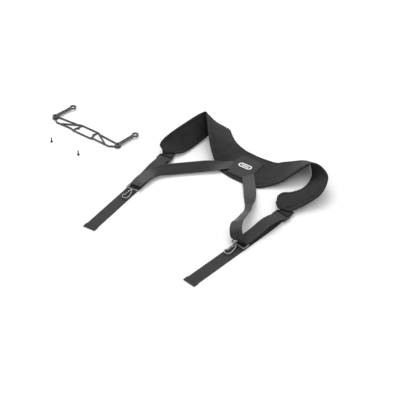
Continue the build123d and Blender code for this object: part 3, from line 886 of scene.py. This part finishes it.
def addHem(line, tailRight):
    # the end folded over twice and sewn across
    full, hem = hemValues["thick"], hemValues["length"]
    places = [(0.0, 0.80), (0.0006, 0.97), (0.0020, 1.0), (0.005, 0.985), (0.009, 1.0),
              (0.0125, 0.985), (hem - 0.0022, 1.0), (hem - 0.0009, 0.86), (hem - 0.0002, 0.45)]
    points = [line.tailSpot(line.toEnd - hem + place, full / 2) for place, _ in places]
    rows = runRows(points, [tailRight] * len(points), hemValues["width"])
    piece = bandPiece(line.word + "TailHem", rows, lambda row: tapeSection(full * places[row][1]),
                      webbingCloth)
    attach(piece, line.word + "_tail_body")
    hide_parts(line.word + "_tail_hem")
    for number, place in enumerate(hemValues["stitches"]):
        middle = line.tailSpot(line.toEnd - hem + place, full + 0.0001)
        ends = [middle + tailRight * side * hemValues["stitchHalf"] for side in (-1, 1)]
        stitchRow(f"{line.word}HemStitches{number}", ends, [up, up], line.word + "_tail_body")


loopValues = {"reach": 0.024, "lift": 0.0040, "lowest": -0.002, "highest": 0.007, "turnRows": 7}


def addPadLoop(line, padRow):
    # short webbing round the buckle's rear bar, ending against the underside of the pad
    barZ, bar = line.rear.z, line.length + webValues["barPitch"]
    arc = line.arc(bar, barZ, webValues["barRadius"], 290, 70, 12)
    first, second, outward, _ = padRow
    middle = (first + second) / 2
    ends = []
    for side in (-1, 1):
        place = line.spot(bar + loopValues["reach"], 0) + line.right * side * webValues["width"] / 2
        offset = (place.x - middle.x) * outward.x + (place.y - middle.y) * outward.y
        underPad = middle.z - offset / outward.z - loopValues["lift"]
        place.z = min(max(underPad, barZ + loopValues["lowest"]), barZ + loopValues["highest"])
        ends.append(place)
    endMiddle = (ends[0] + ends[1]) / 2
    endRight = (ends[1] - ends[0]).normalized()
    half = up * webValues["thick"] * 0.5
    lower = spread(endMiddle - half, arc[0], 8)
    upper = spread(arc[-1], endMiddle + half, 8) + [endMiddle + half]
    points = lower + arc[:-1] + upper
    rights, turnRows = [], loopValues["turnRows"]
    for index in range(len(points)):
        share = max(1 - index / turnRows, (index - len(points) + 1 + turnRows) / turnRows, 0)
        rights.append(line.right.lerp(endRight, min(share, 1)).normalized())
    rows = runRows(points, rights, webValues["width"])
    piece = flatTape(line, "PadLoop", rows, tapeCloth)
    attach(piece, "harness")
    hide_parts(line.word + "_pad_loop")


satinValues = {
    "thick": 0.0014, "edgeRidge": 0.1, "steps": 7, "seamEdge": 0.9, "seamRows": (2, 26),
    "left": {"wrap": (90, 225), "tuck": 0},      # the turn round the ring's bar, in degrees
    "right": {"wrap": (165, 270), "tuck": 0.016},
}
# the two edges of each satin strap, from the patch to the ring, in mm
leftSatinStations = [
    ((-34, 9, 8.0), (-20.5, -35.6, 8.0)),
    ((-54, -17, 11.0), (-28, -45, 10.0)),
    ((-76, -47, 22.0), (-52, -74, 10.0)),
    ((-94, -70, 27.0), (-72, -94, 8.0)),
    ((-129, -107, 27.0), (-108, -131, 7.0)),
    ((-163, -142, 27.0), (-141, -166, 7.0)),
    ((-190, -174, 27.0), (-168, -199, 10.0)),
    ((-208, -205, 20.0), (-174, -219, 13.0)),
    ((-211, -238, 19), (-174, -242, 15)),
    ((-213, -258, 15.5), (-175, -262, 13.5)),
]
rightSatinStations = [
    ((30, -46, 8.0), (49.5, -9.5, 8.0)),
    ((40, -57, 9.6), (64, -29, 9.6)),
    ((52, -71, 8.6), (77, -46, 9.2)),
    ((74, -98, 5.0), (100, -74, 9.5)),
    ((103, -135, 5.0), (135, -126, 20.0)),
    ((120, -157, 7.0), (150, -162, 29.0)),
    ((132, -180, 9.0), (162, -188, 31.0)),
    ((138, -208, 14.0), (168, -207, 36.0)),
    ((144, -237, 20.0), (174, -227, 40.0)),
    ((151, -270, 31.0), (184, -257, 46.0)),
    ((167, -297, 32.0), (200, -287, 45.0)),
    ((180, -312, 25.0), (216, -301, 30.0)),
    ((186, -309.5, 17.5), (223.5, -305, 19.5)),
]


def addSatinStrap(line, stations):
    steps, thick = satinValues["steps"], satinValues["thick"]
    rows = bandRows(stations, steps, webValues["width"])
    slanted = Vector(stations[0][0]) * mm, Vector(stations[0][1]) * mm
    for index in range(steps):               # the root is cut to the patch's edge
        share = 1 - index / steps
        first, second, outward, travelled = rows[index]
        rows[index] = (first.lerp(slanted[0], share), second.lerp(slanted[1], share), outward, travelled)
    # the end is turned round the ring's bar
    radius = webValues["ringRadius"] + webValues["thick"] / 2 + thick / 2 + 0.0001
    arc = line.arc(0, line.ring.z, radius, *satinValues[line.word]["wrap"], 9)
    tuck = satinValues[line.word]["tuck"]
    if tuck:
        under = arc[-1] + line.along * tuck
        arc += [arc[-1].lerp(under, step / 4) for step in range(1, 5)]
    last = (rows[-1][0] + rows[-1][1]) / 2
    before = (rows[-2][0] + rows[-2][1]) / 2
    lead = through([before, last, arc[0], arc[1]], 4)[5:8]
    points = lead + arc
    ways = [(rows[-1][1] - rows[-1][0]).normalized().lerp(line.right, min((index + 1) / 4, 1))
            for index in range(len(points))]
    extra = runRows(points, [way.normalized() for way in ways], webValues["width"])
    travelled = rows[-1][3] + 0.003
    rows += [(first, second, outward, travelled + far) for first, second, outward, far in extra]
    ridge = satinValues["edgeRidge"]
    piece = bandPiece(line.word + "SatinStrap", rows, lambda _: tapeSection(thick, ridge), satinCloth)
    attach(piece, "harness")
    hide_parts(line.word + "_side_strap")
    begin, end = satinValues["seamRows"]
    for edgeName, side in (("Inner", -1), ("Outer", 1)):
        seam, ways = [], []
        for first, second, outward, _ in rows[1 + begin:1 + end]:
            reach = (second - first) / 2 * side * satinValues["seamEdge"]
            seam.append((first + second) / 2 + reach + outward * thick * 0.52)
            ways.append(outward)
        stitchRow(line.word + "SatinSeam" + edgeName, seam, ways, "harness")


buckleValues = {
    "inner": 0.0196, "rail": 0.0044, "railHeight": 0.0056, "railRise": 0.0004, "overhang": 0.0034,
    "bars": {1: (0.0019, 1.0), 0: (0.0019, 1.0), -1: (0.0018, 0.95)},   # radius, flatness
    "ribs": 9, "rib": (0.0011, 0.0040, 0.0036),
    "notches": (-0.0045, 0.0, 0.0045), "notch": (0.0009, 0.0014, 0.0032), "softEdge": 0.0007,
}


def soften(piece, width, segments, angle):
    soft = piece.modifiers.new("softEdges", "BEVEL")
    soft.width = width
    soft.segments = segments
    soft.limit_method = "ANGLE"
    soft.angle_limit = math.radians(angle)


def addBlock(points, faces, centre, size):
    # a box in the buckle's own directions; its edges are rounded afterwards
    start = len(points)
    for x in (-0.5, 0.5):
        for y in (-0.5, 0.5):
            for z in (-0.5, 0.5):
                points.append(Vector(centre) + Vector((x * size[0], y * size[1], z * size[2])))
    for face in ((0, 1, 3, 2), (4, 6, 7, 5), (0, 4, 5, 1), (2, 3, 7, 6), (0, 2, 6, 4), (1, 5, 7, 3)):
        faces.append(tuple(start + corner for corner in face))


def addRod(points, faces, y, radius, half, flatness, sides=14):
    # a crossbar, from rail to rail
    start = len(points)
    for x in (-half, half):
        for corner in range(sides):
            angle = turn * corner / sides
            points.append(Vector((x, y + radius * math.cos(angle),
                                  radius * flatness * math.sin(angle))))
    faces += ringFaces(2, sides, start)


def addRail(points, faces, x, width, half, height, rise):
    # a side rail: rounded ends, with its back a little arched
    outline = []
    steps = 9
    for step in range(steps):
        share = step / (steps - 1) * 2 - 1
        back = height / 2 * (1 - 0.28 * share ** 4) + rise * (1 - share ** 2)
        outline.append((share * (half - 0.001), back))
    outline += [(half, height * 0.12), (half, -height * 0.12)]
    for step in range(steps):
        share = 1 - step / (steps - 1) * 2
        outline.append((share * (half - 0.001), -height / 2 * (1 - 0.28 * share ** 4)))
    outline += [(-half, -height * 0.12), (-half, height * 0.12)]
    start = len(points)
    for side in (-1, 1):
        points += [Vector((x + side * width / 2, y, z)) for y, z in outline]
    faces += ringFaces(2, len(outline), start)


def addBuckle(line):
    inner, rail, pitch = buckleValues["inner"], buckleValues["rail"], webValues["barPitch"]
    points, faces = [], []
    half = pitch + buckleValues["overhang"] - 0.0006
    for side in (-1, 1):
        addRail(points, faces, side * (inner + rail / 2), rail - 0.0002, half,
                buckleValues["railHeight"], buckleValues["railRise"])
    for place, (radius, flatness) in buckleValues["bars"].items():
        addRod(points, faces, place * pitch, radius, inner + 0.001, flatness)
    for rib in range(buckleValues["ribs"]):
        x = (rib / (buckleValues["ribs"] - 1) - 0.5) * 2 * (inner - 0.003)
        addBlock(points, faces, (x, -pitch - 0.0006, 0.0004), buckleValues["rib"])
    for side in (-1, 1):
        for notch in buckleValues["notches"]:
            addBlock(points, faces, (side * (inner + rail - 0.0002), notch, 0.0), buckleValues["notch"])
    centre = line.spot(line.length, line.rear.z)
    placed = [centre + line.right * point.x + line.along * point.y + up * point.z for point in points]
    piece = newPiece(line.word + "LadderLock", placed, faces, plasticFinish)
    soften(piece, buckleValues["softEdge"], 3, 38)
    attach(piece, line.word + "_buckle_body")
    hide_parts(line.word + "_buckle")


lines = {word: FrontLine(word) for word in ("left", "right")}
for word, line in lines.items():
    addFrontWebbing(line)
    addAdjusterWebbing(line)
    addTail(line)
    addBuckle(line)
addPadLoop(lines["left"], padRows[padValues["steps"] // 2])
addPadLoop(lines["right"], padRows[-1 - padValues["steps"] // 2])
addSatinStrap(lines["left"], leftSatinStations)
addSatinStrap(lines["right"], rightSatinStations)
print("straps and buckles are made")


screwValues = {
    "radius": 0.002, "pitch": 0.0007, "depth": 0.00043, "headRadius": 0.004, "headHeight": 0.003,
    "tipRadius": 0.0012, "length": 0.014, "sides": 28, "ringsPerTurn": 8,
}


def screwRings(full):
    # (radius, height, thread depth) of each ring, from the head's top on the table to the tip
    radius, head, height = screwValues["radius"], screwValues["headRadius"], screwValues["headHeight"]
    pitch, perTurn, depth = screwValues["pitch"], screwValues["ringsPerTurn"], screwValues["depth"]
    rings = [(head * 0.72, 0.0, 0), (head * 0.88, 0.0004, 0), (head * 0.98, 0.0011, 0),
             (head, 0.0019, 0), (head * 0.985, height - 0.0001, 0), (head * 0.96, height, 0),
             (radius * 1.04, height, 0), (radius * 0.86, height + 0.0004, 0)]
    count = int((screwValues["length"] - 0.0012) / pitch * perTurn)
    for ring in range(count):
        taper = depth * max(0.0, 0.08 - (1 - ring / count)) * 12
        rings.append((radius - taper, height + 0.0007 + ring * pitch / perTurn,
                      depth * min(1.0, ring / 10) - taper))
    return rings + [(screwValues["tipRadius"], full, 0)]


def addMountingScrew(word):
    low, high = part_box(word + "_mounting_screw")
    centre = Vector(((low.x + high.x) / 2, (low.y + high.y) / 2, low.z))
    sides, pitch = screwValues["sides"], screwValues["pitch"]
    rings = screwRings(high.z - low.z)
    points = []
    for radius, height, depth in rings:
        for corner in range(sides):
            cut = abs((height / pitch - corner / sides) % 1.0 - 0.5) * 2
            reach, angle = radius - depth * cut, turn * corner / sides
            points.append(centre + Vector((reach * math.cos(angle), reach * math.sin(angle), height)))
    faces = ringFaces(len(rings), sides)
    piece = newPiece(word + "ThreadedScrew", points, faces, screwFinish, None, 50)
    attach(piece, word + "_screw")
    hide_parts(word + "_mounting_screw")


for word in ("left", "right"):
    addMountingScrew(word)
print("screws are made")


def refinish(node, finish, softEdge=0.0):
    # a metal or printed piece keeps its designed shape and gets its finish
    made = frame["nodes"][node]
    made.data.materials.clear()
    made.data.materials.append(finish)
    if softEdge:
        weld = made.modifiers.new("weld", "WELD")
        weld.merge_threshold = 0.00001
        soften(made, softEdge, 2, 40)


bracketSoftEdge = 0.0005
refinish("patch_mark", printFinish)
refinish("bracket_truss", trussFinish, bracketSoftEdge)
for word in ("left", "right"):
    for part in ("ring", "swivel_eye", "hook", "gate", "gate_pin"):
        refinish(f"{word}_{part}", wireFinish)
    refinish(word + "_bracket_arm", armFinish, bracketSoftEdge)
    refinish(word + "_pivot_screw", screwFinish)
print("metal is finished")
